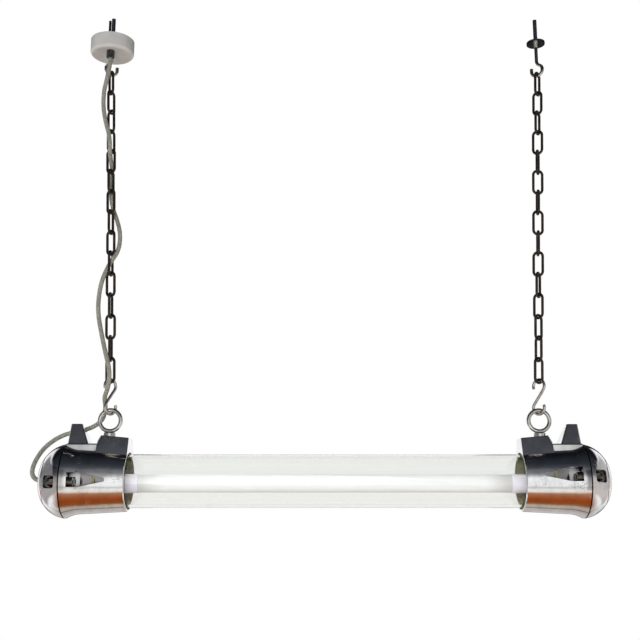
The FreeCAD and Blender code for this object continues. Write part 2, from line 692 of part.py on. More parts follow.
def cord(name, places):
    """A tube of straight runs joined by tangent arcs. It prints its arcs' radii and checks its volume."""
    edges, radii, last = [], [], places[0]
    for before, here, after in zip(places, places[1:], places[2:]):
        back, ahead = before - here, after - here
        reach_back = 0.45 * min(back.Length, ahead.Length)
        back.normalize()
        ahead.normalize()
        half = (math.pi - back.getAngle(ahead)) / 2
        radius = reach_back / math.tan(half)
        start, end = here + back * reach_back, here + ahead * reach_back
        inward = back + ahead
        inward.normalize()
        middle = here + inward * (radius / math.cos(half) - radius)
        edges += [Part.LineSegment(last, start).toShape(), Part.Arc(start, middle, end).toShape()]
        radii.append(round(radius, 1))
        last = end
    edges.append(Part.LineSegment(last, places[-1]).toShape())
    shape = swept(edges, cord_diameter / 2)
    length = sum(edge.Length for edge in edges)
    expected = math.pi * (cord_diameter / 2) ** 2 * length
    print(name, "length", round(length, 1), "radii", radii, "volume ratio", round(shape.Volume / expected, 5))
    return shape


def split_cord():
    """The free cord in three stretches, which meet face to face at the eye and under the top link."""
    below = round_cover(gland_points) + round_cover(loop_points, waist_radius) + beside_chain(eye_points)
    middle = beside_chain(hook_points) + beside_chain(lower_points + upper_points, first_link, link_pitch)
    above = [Vector(x - hook_spacing / 2, y, z) for x, y, z in top_points]
    first_joint = (below[-1] + middle[0]) / 2
    second_joint = (middle[-1] + above[0]) / 2
    end = Vector(above[-1].x, above[-1].y, -rose_depth - grip_length)
    return {"cord_loop": below + [first_joint], "cord_chain": [first_joint] + middle + [second_joint],
            "cord_top": [second_joint] + above + [end]}


def mirrored(shape):
    return shape.mirror(Vector(0, 0, 0), Vector(1, 0, 0))


def save(name, shapes):
    shapes = shapes if isinstance(shapes, list) else [shapes]
    shape = shapes[0] if len(shapes) == 1 else Part.makeCompound(shapes)
    print(name, "solids", len(shape.Solids), "valid", shape.isValid(), "volume", round(shape.Volume, 1))
    shape.exportStep(f"parts/{name}.step")


def save_on_lamp(name, shapes, side=1):
    """Saves pieces made about the lamp's axis, on the right or mirrored to the left."""
    shapes = shapes if isinstance(shapes, list) else [shapes]
    placed = []
    for shape in shapes:
        shape = mirrored(shape) if side < 0 else shape
        shape.translate(up * lamp_z)
        placed.append(shape)
    save(name, placed)


terminal_angle = bracket_screw_angles(-1)[1] + 60
for side, name, turns in ((-1, "left", left_turns), (1, "right", right_turns)):
    save(f"ceiling_hook_{name}", ceiling_hook(side, turns[-1] + 90))
    places = [first_link + link_pitch * i for i in range(links_per_chain)]
    links = [link(place, turn, side) for place, turn in zip(places, turns)]
    save(f"chain_{name}", links[:-1])
    save(f"top_link_{name}", links[-1])
    save(f"s_hook_{name}", s_hook(side))
    save_on_lamp(f"eyebolt_{name}", eyebolt(), side)
    save_on_lamp(f"housing_{name}", housing(side), side)
    save_on_lamp(f"cover_{name}", cover(side), side)
    save_on_lamp(f"cover_bolts_{name}", round_cap(cover_bolt, side), side)
    save_on_lamp(f"cover_nuts_{name}", round_cap(cover_nut, side), side)
    save_on_lamp(f"cover_gasket_{name}", cover_gasket(), side)
    save_on_lamp(f"glass_seal_{name}", ring(glass_radius + seal_clearance, bore_radius - seal_clearance,
                                            seal_x, seal_x + seal_length), side)
    save_on_lamp(f"glass_cushion_{name}", ring(glass_radius - glass_wall - 1, bore_radius - seal_clearance,
                                               cushion_x, cushion_x + cushion_thickness), side)
    save_on_lamp(f"lampholder_{name}", lampholder(), side)
    save_on_lamp(f"lampholder_rotor_{name}", lamp_rotor(), side)
    save_on_lamp(f"holder_bracket_{name}", holder_bracket(), side)
    save_on_lamp(f"bracket_screws_{name}", bracket_screws(side), side)
    save_on_lamp(f"lamp_cap_{name}", rod(lamp_cap_radius, lamp_axis(lamp_glass_half),
                                         lamp_axis(lamp_body_half)), side)
    pins = [rod(pin_radius, lamp_axis(lamp_body_half, z), lamp_axis(lamp_body_half + pin_length, z))
            for z in (-pin_spacing / 2, pin_spacing / 2)]
    save_on_lamp(f"lamp_pins_{name}", pins, side)

save_on_lamp("glass_tube", ring(glass_radius - glass_wall, glass_radius, -glass_end, glass_end))
save_on_lamp("lamp_tube", rod(lamp_tube_radius, lamp_axis(-lamp_glass_half), lamp_axis(lamp_glass_half)))
save_on_lamp("terminal_block", terminal_block(), -1)
save_on_lamp("terminal_screws", terminal_screws(), -1)
save_on_lamp("cable_gland", cable_gland(), -1)
save_on_lamp("gland_seal", gland_seal(), -1)
save_on_lamp("gland_nut", inner_nut(), -1)
save_on_lamp("blanking_plug", blanking_plug())
save_on_lamp("plug_nut", inner_nut())

for name, make in (("rose_base", rose_base), ("rose_screws", rose_screws), ("rose_cup", rose_cup),
                   ("cord_grip", cord_grip)):
    shapes = make()
    shapes = shapes if isinstance(shapes, list) else [shapes]
    for shape in shapes:
        shape.translate(Vector(-hook_spacing / 2, 0, 0))
    save(name, shapes)

for name, points in split_cord().items():
    save(name, cord(name, points))
print("lean", round(lean, 3), "lamp axis z", round(lamp_z, 2), "eye x", eye_x)
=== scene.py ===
import bpy
import bmesh
import json
import math
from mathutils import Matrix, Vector


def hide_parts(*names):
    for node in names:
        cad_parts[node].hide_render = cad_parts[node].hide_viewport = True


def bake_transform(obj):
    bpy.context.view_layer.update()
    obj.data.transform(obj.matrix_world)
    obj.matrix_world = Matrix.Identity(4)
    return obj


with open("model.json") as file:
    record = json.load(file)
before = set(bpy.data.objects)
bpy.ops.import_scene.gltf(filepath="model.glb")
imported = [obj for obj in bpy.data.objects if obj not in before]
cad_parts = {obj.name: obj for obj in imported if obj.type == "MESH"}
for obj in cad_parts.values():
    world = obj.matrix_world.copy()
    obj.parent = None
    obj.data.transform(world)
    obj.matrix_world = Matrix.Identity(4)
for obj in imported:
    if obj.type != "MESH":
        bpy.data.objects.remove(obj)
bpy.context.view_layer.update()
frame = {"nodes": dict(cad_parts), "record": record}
nodes = frame["nodes"]
scene = bpy.context.scene
lampHeight = -0.675547       # axis of the glass tube, under the ceiling
print("frame loaded:", len(nodes), "nodes")

view = {"lens": 52.57, "place": (-0.0143, -1.3448, lampHeight - 0.0383), "pitch": 11.41, "yaw": -0.31}

camera = bpy.data.objects.new("camera", bpy.data.cameras.new("camera"))
scene.collection.objects.link(camera)
camera.data.lens = view["lens"]
camera.data.sensor_width = 36
camera.location = view["place"]
camera.rotation_euler = (math.radians(90 + view["pitch"]), 0, math.radians(view["yaw"]))
scene.camera = camera
print("camera set")


# Every object is made from a bmesh and linked to the scene by this.
def finishedObject(name, bm):
    mesh = bpy.data.meshes.new(name)
    bm.to_mesh(mesh)
    bm.free()
    made = bpy.data.objects.new(name, mesh)
    scene.collection.objects.link(made)
    return made


# Node trees are built with these few helpers.
def add(tree, kind, inputs=None, **settings):
    node = tree.nodes.new("ShaderNode" + kind)
    for name, value in settings.items():
        setattr(node, name, value)
    for name, value in (inputs or {}).items():
        if isinstance(value, bpy.types.NodeSocket):
            tree.links.new(value, node.inputs[name])
        else:
            node.inputs[name].default_value = value
    return node


def startMaterial(name, fixed):
    material = bpy.data.materials.new(name)
    material.use_nodes = True
    shader = material.node_tree.nodes["Principled BSDF"]
    for socket, value in fixed.items():
        shader.inputs[socket].default_value = value
    return material, material.node_tree, shader


def wire(tree, shader, sockets):
    for name, output in sockets.items():
        tree.links.new(output, shader.inputs[name])


def maths(tree, operation, first, second=0.0, clamp=False):
    return add(tree, "Math", {0: first, 1: second}, operation=operation, use_clamp=clamp).outputs[0]


def objectSpace(tree, stretch=(1, 1, 1), centre=(0, 0, 0)):
    where = add(tree, "TexCoord").outputs["Object"]
    moved = add(tree, "VectorMath", {0: where, 1: centre}, operation="SUBTRACT").outputs[0]
    return add(tree, "Mapping", {"Vector": moved, "Scale": stretch}).outputs[0]


def noise(tree, where, scale, detail=3.0, roughness=0.55):
    return add(tree, "TexNoise", {"Vector": where, "Scale": scale, "Detail": detail,
                                  "Roughness": roughness}).outputs["Fac"]


def between(tree, value, low, high, start=0.0, end=1.0):
    return add(tree, "MapRange", {"Value": value, "From Min": low, "From Max": high,
                                  "To Min": start, "To Max": end}).outputs[0]


def within(tree, value, low, high):
    return maths(tree, "MULTIPLY", maths(tree, "GREATER_THAN", value, low),
                 maths(tree, "LESS_THAN", value, high))


def blendColours(tree, factor, first, second):
    node = add(tree, "Mix", data_type="RGBA")
    for index, value in ((0, factor), (6, first), (7, second)):
        if isinstance(value, bpy.types.NodeSocket):
            tree.links.new(value, node.inputs[index])
        else:
            node.inputs[index].default_value = value if index == 0 else (*value, 1)
    return node.outputs[2]


def raised(tree, height, depth, under=None):
    inputs = {"Height": height, "Distance": depth}
    if under is not None:
        inputs["Normal"] = under
    return add(tree, "Bump", inputs).outputs[0]


# Most finishes are two tones in patches, a grain, and a gloss that changes from place to place.
def patchyFinish(name, s):
    material, tree, shader = startMaterial(name, {"Metallic": s["metal"], **s.get("fixed", {})})
    where = objectSpace(tree, s.get("stretch", (1, 1, 1)))
    patches = between(tree, noise(tree, where, s["patch"], 5), 0.35, 0.65)
    colour = blendColours(tree, patches, s["dark"], s["light"])
    if "specks" in s:
        dots = add(tree, "TexVoronoi", {"Vector": where, "Scale": s["specks"]}).outputs["Distance"]
        rare = between(tree, noise(tree, where, s["specks"] / 7, 2), 0.5, 0.62)
        colour = blendColours(tree, maths(tree, "MULTIPLY", between(tree, dots, 0.24, 0.12), rare),
                              colour, s["speckColour"])
    gloss = between(tree, noise(tree, where, s["patch"] * 2.3, 4), 0.3, 0.7, s["smooth"], s["rough"])
    normal = raised(tree, noise(tree, where, s["grain"], 4, 0.65), s["depth"])
    if "wave" in s:
        normal = raised(tree, noise(tree, where, s["wave"], 1), s["waveDepth"], normal)
    wire(tree, shader, {"Base Color": colour, "Roughness": gloss, "Normal": normal})
    return material


finishSettings = {
    "bright_zinc": {"metal": 1.0, "dark": (0.5, 0.49, 0.47), "light": (0.83, 0.83, 0.82), "patch": 140,
                    "smooth": 0.07, "rough": 0.2, "grain": 1400, "depth": 0.00003,
                    "specks": 900, "speckColour": (0.16, 0.14, 0.12)},
    "black_chain": {"metal": 0.0, "dark": (0.006, 0.005, 0.004), "light": (0.03, 0.019, 0.012), "patch": 90,
                    "smooth": 0.3, "rough": 0.55, "grain": 1100, "depth": 0.00005,
                    "specks": 700, "speckColour": (0.16, 0.09, 0.06)},
    "dull_steel": {"metal": 1.0, "dark": (0.07, 0.06, 0.05), "light": (0.24, 0.23, 0.21), "patch": 220,
                   "smooth": 0.2, "rough": 0.45, "grain": 1500, "depth": 0.00004},
    "seal_rubber": {"metal": 0.0, "dark": (0.17, 0.155, 0.075), "light": (0.33, 0.31, 0.18), "patch": 300,
                    "smooth": 0.55, "rough": 0.8, "grain": 2000, "depth": 0.00004},
    "white_plastic": {"metal": 0.0, "dark": (0.7, 0.69, 0.66), "light": (0.82, 0.81, 0.79), "patch": 120,
                      "smooth": 0.3, "rough": 0.5, "grain": 1800, "depth": 0.00001},
    "bracket_sheet": {"metal": 1.0, "dark": (0.42, 0.42, 0.4), "light": (0.66, 0.66, 0.64), "patch": 160,
                      "smooth": 0.25, "rough": 0.45, "grain": 900, "depth": 0.00002},
    "rose_shell": {"metal": 0.0, "dark": (0.66, 0.66, 0.64), "light": (0.74, 0.74, 0.72), "patch": 60,
                   "smooth": 0.25, "rough": 0.42, "grain": 1200, "depth": 0.00002},
    "grip_plastic": {"metal": 0.0, "dark": (0.02, 0.02, 0.021), "light": (0.04, 0.04, 0.042), "patch": 200,
                     "smooth": 0.35, "rough": 0.55, "grain": 2000, "depth": 0.00002},
    "lamp_ends": {"metal": 0.0, "dark": (0.77, 0.73, 0.84), "light": (0.86, 0.83, 0.92), "patch": 90,
                  "smooth": 0.3, "rough": 0.45, "grain": 1500, "depth": 0.00001},
    "pin_metal": {"metal": 1.0, "dark": (0.55, 0.42, 0.2), "light": (0.78, 0.62, 0.34), "patch": 400,
                  "smooth": 0.2, "rough": 0.4, "grain": 2000, "depth": 0.00001},
}
finishes = {slot: patchyFinish(slot.replace("_", " ").title().replace(" ", ""), settings)
            for slot, settings in finishSettings.items()}

# The castings are polished outside and raw inside. Painted shade darkens their outside corners and the groove
# round the end disc, and grime darkens the joint between housing and cover; these places are given in metres
# from the lamp's middle and from its axis.
polish = {"bright": (0.87, 0.875, 0.89), "cloudy": (0.7, 0.7, 0.71), "cloudScale": 70,
          "smooth": 0.035, "rough": 0.17, "wave": 24, "waveDepth": 0.0006, "peel": 170, "peelDepth": 0.00003,
          "pit": (0.1, 0.08, 0.07), "pitScale": 620, "pitPatch": 34, "pitDepth": 0.00025,
          "rawLight": (0.46, 0.43, 0.26), "rawDark": (0.24, 0.215, 0.11), "rawRough": 0.5, "rawMetal": 0.35,
          "rawScale": 180, "rawGrain": 1300, "rawDepth": 0.0003,
          "grimeAndPaintedShade": (0.035, 0.03, 0.027), "cornerReach": 0.012, "seam": 0.365, "seamHalf": 0.0009,
          "disc": (0.0362, 0.0385), "discAt": (0.3902, 0.3918), "chamber": 0.033, "chamberEnd": 0.39}


def castAluminium(s):
    material, tree, shader = startMaterial("CastAluminium", {"Metallic": 1.0})
    where = objectSpace(tree, centre=(0, 0, lampHeight))
    axes = add(tree, "SeparateXYZ", {0: where}).outputs
    along = maths(tree, "ABSOLUTE", axes[0])
    radial = add(tree, "CombineXYZ", {1: axes[1], 2: axes[2]}).outputs[0]
    radius = add(tree, "VectorMath", {0: radial}, operation="LENGTH").outputs["Value"]
    outwards = add(tree, "VectorMath", {0: radial}, operation="NORMALIZE").outputs[0]
    facing = add(tree, "VectorMath", {0: outwards, 1: add(tree, "TexCoord").outputs["Normal"]},
                 operation="DOT_PRODUCT").outputs["Value"]
    chamber = maths(tree, "MULTIPLY", maths(tree, "LESS_THAN", radius, s["chamber"]),
                    maths(tree, "LESS_THAN", along, s["chamberEnd"]))
    inside = maths(tree, "MAXIMUM", maths(tree, "LESS_THAN", facing, -0.5), chamber)
    seam = maths(tree, "COMPARE", along, s["seam"])
    seam.node.inputs[2].default_value = s["seamHalf"]
    # The groove round the end disc is darkened as painted shade; the joint between housing and cover as dark
    # grime.
    disc = maths(tree, "MULTIPLY", within(tree, radius, *s["disc"]), within(tree, along, *s["discAt"]))
    joint = maths(tree, "MAXIMUM", seam, disc)
    # Painted shade: the outside is darkened where nearby surfaces hide it from the surround (ambient
    # occlusion within cornerReach).
    openness = add(tree, "AmbientOcclusion", {"Distance": s["cornerReach"]}, samples=8,
                   only_local=True).outputs["AO"]
    paintedShadeAndGrime = maths(tree, "MULTIPLY", between(tree, openness, 0.7, 0.4), maths(tree, "SUBTRACT", 1.0, inside))
    paintedShadeAndGrime = maths(tree, "MAXIMUM", paintedShadeAndGrime, joint)
    cloud = between(tree, noise(tree, where, s["cloudScale"], 6), 0.42, 0.7)
    colour = blendColours(tree, cloud, s["bright"], s["cloudy"])
    dots = add(tree, "TexVoronoi", {"Vector": where, "Scale": s["pitScale"]}).outputs["Distance"]
    cluster = between(tree, noise(tree, where, s["pitPatch"], 3), 0.54, 0.66)
    pits = maths(tree, "MULTIPLY", between(tree, dots, 0.3, 0.16), cluster)
    colour = blendColours(tree, pits, colour, s["pit"])
    # Painted shade in corners and the disc groove, and grime in the joint, go on in one dark colour.
    colour = blendColours(tree, paintedShadeAndGrime, colour, s["grimeAndPaintedShade"])
    raw = blendColours(tree, noise(tree, where, s["rawScale"], 5), s["rawDark"], s["rawLight"])
    colour = blendColours(tree, inside, colour, raw)
    streaks = noise(tree, objectSpace(tree, (60, 900, 900)), 1.0, 4, 0.7)
    gloss = between(tree, maths(tree, "ADD", maths(tree, "MULTIPLY", streaks, 0.5),
                                maths(tree, "MULTIPLY", noise(tree, where, 45, 5), 0.5)),
                    0.38, 0.68, s["smooth"], s["rough"])
    gloss = maths(tree, "MAXIMUM", gloss, maths(tree, "MULTIPLY", maths(tree, "MAXIMUM", paintedShadeAndGrime, inside),
                                                s["rawRough"]))
    normal = raised(tree, noise(tree, where, s["wave"], 2, 0.4), s["waveDepth"])
    normal = raised(tree, noise(tree, where, s["peel"], 3), s["peelDepth"], normal)
    normal = raised(tree, maths(tree, "SUBTRACT", 1.0, pits), s["pitDepth"], normal)
    grainy = maths(tree, "MULTIPLY", noise(tree, where, s["rawGrain"], 3), inside)
    normal = raised(tree, grainy, s["rawDepth"], normal)
    metal = between(tree, inside, 0.0, 1.0, 1.0, s["rawMetal"])
    wire(tree, shader, {"Base Color": colour, "Roughness": gloss, "Normal": normal, "Metallic": metal})
    return material


glass = {"tint": (0.928, 0.938, 0.922, 1), "shadow": (0.93, 0.94, 0.93, 1), "smears": 35, "dust": 420,
         "drawDepth": 0.00005}


# The glass lets light straight through to the lamp, where a solid one would throw a shadow on it.
def clearGlass(s):
    fixed = {"Base Color": s["tint"], "IOR": 1.47, "Transmission Weight": 1.0}
    material, tree, shader = startMaterial("ClearGlass", fixed)
    where = objectSpace(tree)
    smear = between(tree, noise(tree, where, s["smears"], 6), 0.5, 0.75, 0.0, 0.09)
    dust = add(tree, "TexVoronoi", {"Vector": where, "Scale": s["dust"]}).outputs["Distance"]
    specks = between(tree, dust, 0.1, 0.06, 0.0, 0.35)
    draw = noise(tree, objectSpace(tree, (5, 40, 40)), 1.0, 2)
    wire(tree, shader, {"Roughness": maths(tree, "MAXIMUM", smear, specks),
                        "Normal": raised(tree, draw, s["drawDepth"])})
    lets = add(tree, "BsdfTransparent", {"Color": s["shadow"]}).outputs[0]
    shadow = add(tree, "LightPath").outputs["Is Shadow Ray"]
    both = add(tree, "MixShader", {0: shadow, 1: shader.outputs[0], 2: lets}).outputs[0]
    tree.links.new(both, tree.nodes["Material Output"].inputs["Surface"])
    return material


lampTube = {"powderDark": (0.76, 0.76, 0.77), "powderLight": (0.82, 0.82, 0.83), "end": (0.56, 0.55, 0.55),
            "endFrom": 0.232, "endTo": 0.262, "powder": 1500}


# White powder under clear glass, greyed near the lamp's ends.
def lampGlass(s):
    material, tree, shader = startMaterial("LampGlass", {"Coat Weight": 0.6, "Coat Roughness": 0.05})
    where = objectSpace(tree)
    along = maths(tree, "ABSOLUTE", add(tree, "SeparateXYZ", {0: where}).outputs[0])
    end = between(tree, maths(tree, "ADD", along, maths(tree, "MULTIPLY", noise(tree, where, 25), 0.01)),
                  s["endFrom"], s["endTo"])
    powder = noise(tree, where, s["powder"], 3)
    colour = blendColours(tree, between(tree, powder, 0.3, 0.7), s["powderDark"], s["powderLight"])
    colour = blendColours(tree, end, colour, s["end"])
    wire(tree, shader, {"Base Color": colour, "Roughness": between(tree, powder, 0.3, 0.7, 0.35, 0.5)})
    return material


finishes["cast_aluminium"] = castAluminium(polish)
finishes["clear_glass"] = clearGlass(glass)
finishes["lamp_glass"] = lampGlass(lampTube)

braid = {"strands": 6, "lead": 0.0198, "light": (0.47, 0.48, 0.4), "dark": (0.2, 0.21, 0.16),
         "tracer": (0.62, 0.61, 0.55), "dirt": (0.16, 0.15, 0.12), "fibres": 44.0, "grain": 2600}


# Strands cross under and over; the UV map gives metres along the cord and turns round it.
def braidedCord(s):
    material, tree, shader = startMaterial("BraidedCord", {"Sheen Weight": 0.35, "Sheen Roughness": 0.4})
    uv = add(tree, "SeparateXYZ", {0: add(tree, "UVMap").outputs["UV"]}).outputs
    along = maths(tree, "DIVIDE", uv[0], s["lead"])
    phases = [maths(tree, "MULTIPLY", maths(tree, sign, along, uv[1]), float(s["strands"]))
              for sign in ("ADD", "SUBTRACT")]
    ridges = [maths(tree, "PINGPONG", phase, 0.5) for phase in phases]
    strand = maths(tree, "ADD", *ridges)
    cells = [maths(tree, "FLOOR", phase) for phase in phases]
    over = maths(tree, "MODULO", maths(tree, "ADD", maths(tree, "ADD", *cells), 1000.0), 2.0)
    fibre = [maths(tree, "SINE", maths(tree, "MULTIPLY", phase, s["fibres"])) for phase in phases]
    threads = add(tree, "Mix", {0: over}, data_type="FLOAT")
    tree.links.new(fibre[0], threads.inputs[2])
    tree.links.new(fibre[1], threads.inputs[3])
    where = objectSpace(tree)
    # Painted shade: the cord is darker in the gaps between strands and lighter on their crowns.
    tone = between(tree, strand, 0.1, 0.8)
    colour = blendColours(tree, tone, s["dark"], s["light"])
    bright = maths(tree, "MULTIPLY", maths(tree, "LESS_THAN", maths(tree, "MODULO", maths(
        tree, "ADD", cells[0], 1200.0), 3.0), 0.5), between(tree, ridges[0], 0.2, 0.4))
    colour = blendColours(tree, maths(tree, "MULTIPLY", bright, 0.7), colour, s["tracer"])
    dirt = between(tree, noise(tree, where, 60, 5), 0.4, 0.75, 0.0, 0.45)
    colour = blendColours(tree, dirt, colour, s["dirt"])
    normal = raised(tree, threads.outputs[0], 0.00004)
    normal = raised(tree, noise(tree, where, s["grain"], 3), 0.00006, normal)
    wire(tree, shader, {"Base Color": colour, "Normal": normal,
                        "Roughness": between(tree, tone, 0.0, 1.0, 0.75, 0.45)})
    return material


finishes["braided_cord"] = braidedCord(braid)

for part in frame["record"]["subparts"]:
    slots = nodes[part["node"]].data.materials
    slots.clear()
    slots.append(finishes[part["material_slot"]])
print("finishes set")

# The cord's route, point for point as in the CAD part. Round the cap, a point is (out past the cover's
# tip, y, above the lamp's axis or the waist); beside the S-hook (right of the chain's line, y, up from
# the eye); beside the chain the last number counts links; under the rose it starts from the hook's stud.
cordSettings = {"diameter": 0.0063, "around": 36, "fineness": 36, "relief": 0.0002}
capTip, waist, eyeX, eyeHeight = 0.402, 0.046, 0.308, 0.0855
hookSpacing, hookWire = 0.66, 0.005
linkPitch, firstLink, linkCount, wireGap = 0.032, 0.07315, 15, 0.0003
gripEnd = -0.036
reach = firstLink + linkPitch * (linkCount - 0.5) - wireGap / 2 - hookWire / 2
lean = math.asin((hookSpacing / 2 - eyeX) / reach)

glandPoints = [(-0.008, 0, 0), (0.006, 0, 0), (0.0153, 0.0024, 0.0095), (0.0138, 0.0075, 0.026)]
loopPoints = [(0.003, 0.0145, 0.002), (-0.018, 0.02, 0.019), (-0.041, 0.0205, 0.0255),
              (-0.064, 0.0145, 0.0295)]
eyePoints = [(-0.01213, 0.0094, 0.002), (-0.00848, 0.0079, 0.02017)]
hookPoints = [(-0.00781, -0.0036, 0.03385), (0.00062, -0.0132, 0.04902)]
lowerPoints = [(0.00139, -0.0122, -0.02), (-0.0045, -0.0106, 0.675), (-0.01274, -0.0036, 1.718),
               (-0.0185, 0, 2.664), (-0.01787, 0.0008, 3.445), (-0.01244, -0.0023, 4.22),
               (-0.00142, -0.0013, 4.988), (0.01151, 0.0019, 5.612), (0.01396, 0.0031, 6.407),
               (0.00746, 0.0105, 7.166)]
upperPoints = [(-0.00047, 0.0127, 7.833), (-0.00268, 0.0112, 8.586), (0.00015, 0.0115, 9.593),
               (-0.00009, -0.0075, 10.247), (0.00079, -0.0131, 11.068), (-0.00723, -0.0088, 11.97),
               (-0.0108, -0.0078, 12.756), (-0.00865, -0.0108, 13.473)]
topPoints = [(-0.003, -0.0134, -0.06755), (0.001, -0.0158, -0.04555)]


def roundCover(points, height=0.0):
    return [Vector((-capTip - out, y, lampHeight + height + z)) for out, y, z in points]


def besideChain(points, start=0.0, step=1.0):
    along = Vector((-math.sin(lean), 0, math.cos(lean)))
    across = Vector((math.cos(lean), 0, math.sin(lean)))
    eye = Vector((-eyeX, 0, lampHeight + eyeHeight))
    return [eye + across * right + Vector((0, y, 0)) + along * (start + step * up) for right, y, up in points]


below = roundCover(glandPoints) + roundCover(loopPoints, waist) + besideChain(eyePoints)
beside = besideChain(hookPoints) + besideChain(lowerPoints + upperPoints, firstLink, linkPitch)
above = [Vector((x - hookSpacing / 2, y, z)) for x, y, z in topPoints]
joints = [(below[-1] + beside[0]) / 2, (beside[-1] + above[0]) / 2]
route = [*below, joints[0], *beside, joints[1], *above, Vector((above[-1].x, above[-1].y, gripEnd))]


def cordMesh(places, thickness):
    curve = bpy.data.curves.new("route", "CURVE")
    curve.dimensions = "3D"
    curve.twist_mode = "MINIMUM"
    curve.bevel_depth = thickness / 2
    curve.bevel_resolution = (cordSettings["around"] - 4) // 2
    spline = curve.splines.new("NURBS")
    spline.points.add(len(places) - 1)
    for point, place in zip(spline.points, places):
        point.co = (*place, 1)
    spline.order_u = 3
    spline.use_endpoint_u = True
    spline.resolution_u = cordSettings["fineness"]
    holder = bpy.data.objects.new("route", curve)
    scene.collection.objects.link(holder)
    mesh = bpy.data.meshes.new_from_object(holder.evaluated_get(bpy.context.evaluated_depsgraph_get()))
    bpy.data.objects.remove(holder)
    return mesh


centres = [vertex.co.copy() for vertex in cordMesh(route, 0).vertices]
tube = cordMesh(route, cordSettings["diameter"])
around = cordSettings["around"]
lengths = [0.0]
for before, after in zip(centres, centres[1:]):
    lengths.append(lengths[-1] + (after - before).length)
cuts = [min(range(len(centres)), key=lambda i: (centres[i] - joint).length) for joint in joints]
print("cord length", round(lengths[-1], 4), "in", len(centres), "rings of", around, "points",
      len(tube.vertices) == len(centres) * around)


# Raises the crossing strands of the braid by a hair, where the pattern of the material has them.
def braidHeight(along, turn):
    waves = [abs(((along / braid["lead"] + sign * turn) * braid["strands"]) % 1 - 0.5) * 2
             for sign in (1, -1)]
    return (1 - waves[0] * waves[1]) * cordSettings["relief"] - cordSettings["relief"] / 2


def cordStretch(name, first, last):
    bm = bmesh.new()
    uvs = bm.loops.layers.uv.new("UVMap")
    rings = []
    for index in range(first, last + 1):
        centre = centres[index]
        ring = []
        for turn in range(around):
            place = tube.vertices[index * around + turn].co
            outwards = (place - centre).normalized()
            ring.append(bm.verts.new(place + outwards * braidHeight(lengths[index], turn / around)))
        rings.append(ring)
    for index, (here, after) in enumerate(zip(rings, rings[1:])):
        for turn in range(around):
            face = bm.faces.new((here[turn], here[turn - around + 1], after[turn - around + 1], after[turn]))
            face.smooth = True
            for loop, (row, column) in zip(face.loops, ((0, 0), (0, 1), (1, 1), (1, 0))):
                loop[uvs].uv = (lengths[first + index + row], (turn + column) / around)
    for ring in (rings[0], rings[-1]):
        bm.faces.new(ring)
    bmesh.ops.recalc_face_normals(bm, faces=bm.faces)
    piece = finishedObject(name, bm)
    piece.data.materials.append(finishes["braided_cord"])
    return piece


def onChain(up):
    return besideChain([(0, 0, up)])[0]


# Each stretch lists a name, its CAD node, its first and last ring, two bodies and two places; only the name,
# node and rings are used, to cut the piece from the cord and hide the node.
stretches = [
    ("cordLoop", "cord_loop", 0, cuts[0],
     "chain_left", "lamp", onChain(0.022), onChain(-0.016)),
    ("cordChain", "cord_chain", cuts[0], cuts[1],
     "top_links", "chain_left", (-0.3287, 0, -0.080), (-0.3277, 0, -0.105)),
    ("cordTop", "cord_top", cuts[1], len(centres) - 1,
     "ceiling", "top_links", (-0.33, 0, -0.042), (-0.33, 0, -0.07)),
]
for name, node, first, last, upper, lower, start, end in stretches:
    piece = cordStretch(name, first, last)
    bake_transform(piece)
    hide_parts(node)
print("cord made")

# A white surround for the camera, the glass and the metal, and softer light from it on everything else.
light = {"surround": 0.6, "key": 30.0, "keyPlace": (-0.5, -2.2, -0.35), "keySize": 1.8,
         "floor": -2.4, "floorHalf": 9.0, "floorDark": (0.93, 0.93, 0.92), "floorLight": (0.96, 0.96, 0.95),
         "floorGlow": 0.4}
scene.view_settings.view_transform = "Standard"


def seesSurround(tree):
    rays = add(tree, "LightPath").outputs
    either = maths(tree, "MAXIMUM", rays["Is Camera Ray"], rays["Is Glossy Ray"])
    return maths(tree, "MAXIMUM", either, rays["Is Transmission Ray"])


world = bpy.data.worlds.new("studio")
scene.world = world
world.use_nodes = True
background = world.node_tree.nodes["Background"]
background.inputs["Color"].default_value = (1, 1, 1, 1)
strength = between(world.node_tree, seesSurround(world.node_tree), 0.0, 1.0, light["surround"], 1.0)
world.node_tree.links.new(strength, background.inputs["Strength"])

lamp = bpy.data.objects.new("keyLamp", bpy.data.lights.new("keyLamp", "AREA"))
scene.collection.objects.link(lamp)
lamp.data.shape, lamp.data.size, lamp.data.energy = "DISK", light["keySize"], light["key"]
lamp.location = light["keyPlace"]
lamp.rotation_euler = (Vector((0, 0, lampHeight + 0.2)) - lamp.location).to_track_quat("-Z", "Y").to_euler()
lamp.visible_glossy = False


def makeFloor(s):
    bm = bmesh.new()
    bmesh.ops.create_grid(bm, x_segments=1, y_segments=1, size=s["floorHalf"])
    bmesh.ops.translate(bm, verts=bm.verts, vec=(0, 0, s["floor"]))
    floor = finishedObject("floor", bm)
    material, tree, shader = startMaterial("PaleFloor", {"Roughness": 0.9, "Emission Color": (1, 1, 1, 1)})
    tone = noise(tree, objectSpace(tree), 3)
    colour = blendColours(tree, tone, s["floorDark"], s["floorLight"])
    glow = maths(tree, "MULTIPLY", seesSurround(tree), s["floorGlow"])
    wire(tree, shader, {"Base Color": colour, "Emission Strength": glow})
    floor.data.materials.append(material)


makeFloor(light)


# A glowing strip, spun from an edge between two places, that hides from the given kinds of ray.
def glowingStrip(name, ends, steps, hidden, **spin):
    bm = bmesh.new()
    corners = [bm.verts.new(place) for place in ends]
    edge = bm.edges.new(corners)
    bmesh.ops.spin(bm, geom=[*corners, edge], steps=steps, **spin)
    strip = finishedObject(name, bm)
    material, tree, shader = startMaterial(name, {"Base Color": (0, 0, 0, 1), "Specular IOR Level": 0,
                                                  "Emission Strength": 1.0})
    strip.data.materials.append(material)
    for kind in hidden:
        setattr(strip, "visible_" + kind, False)
    return tree, shader


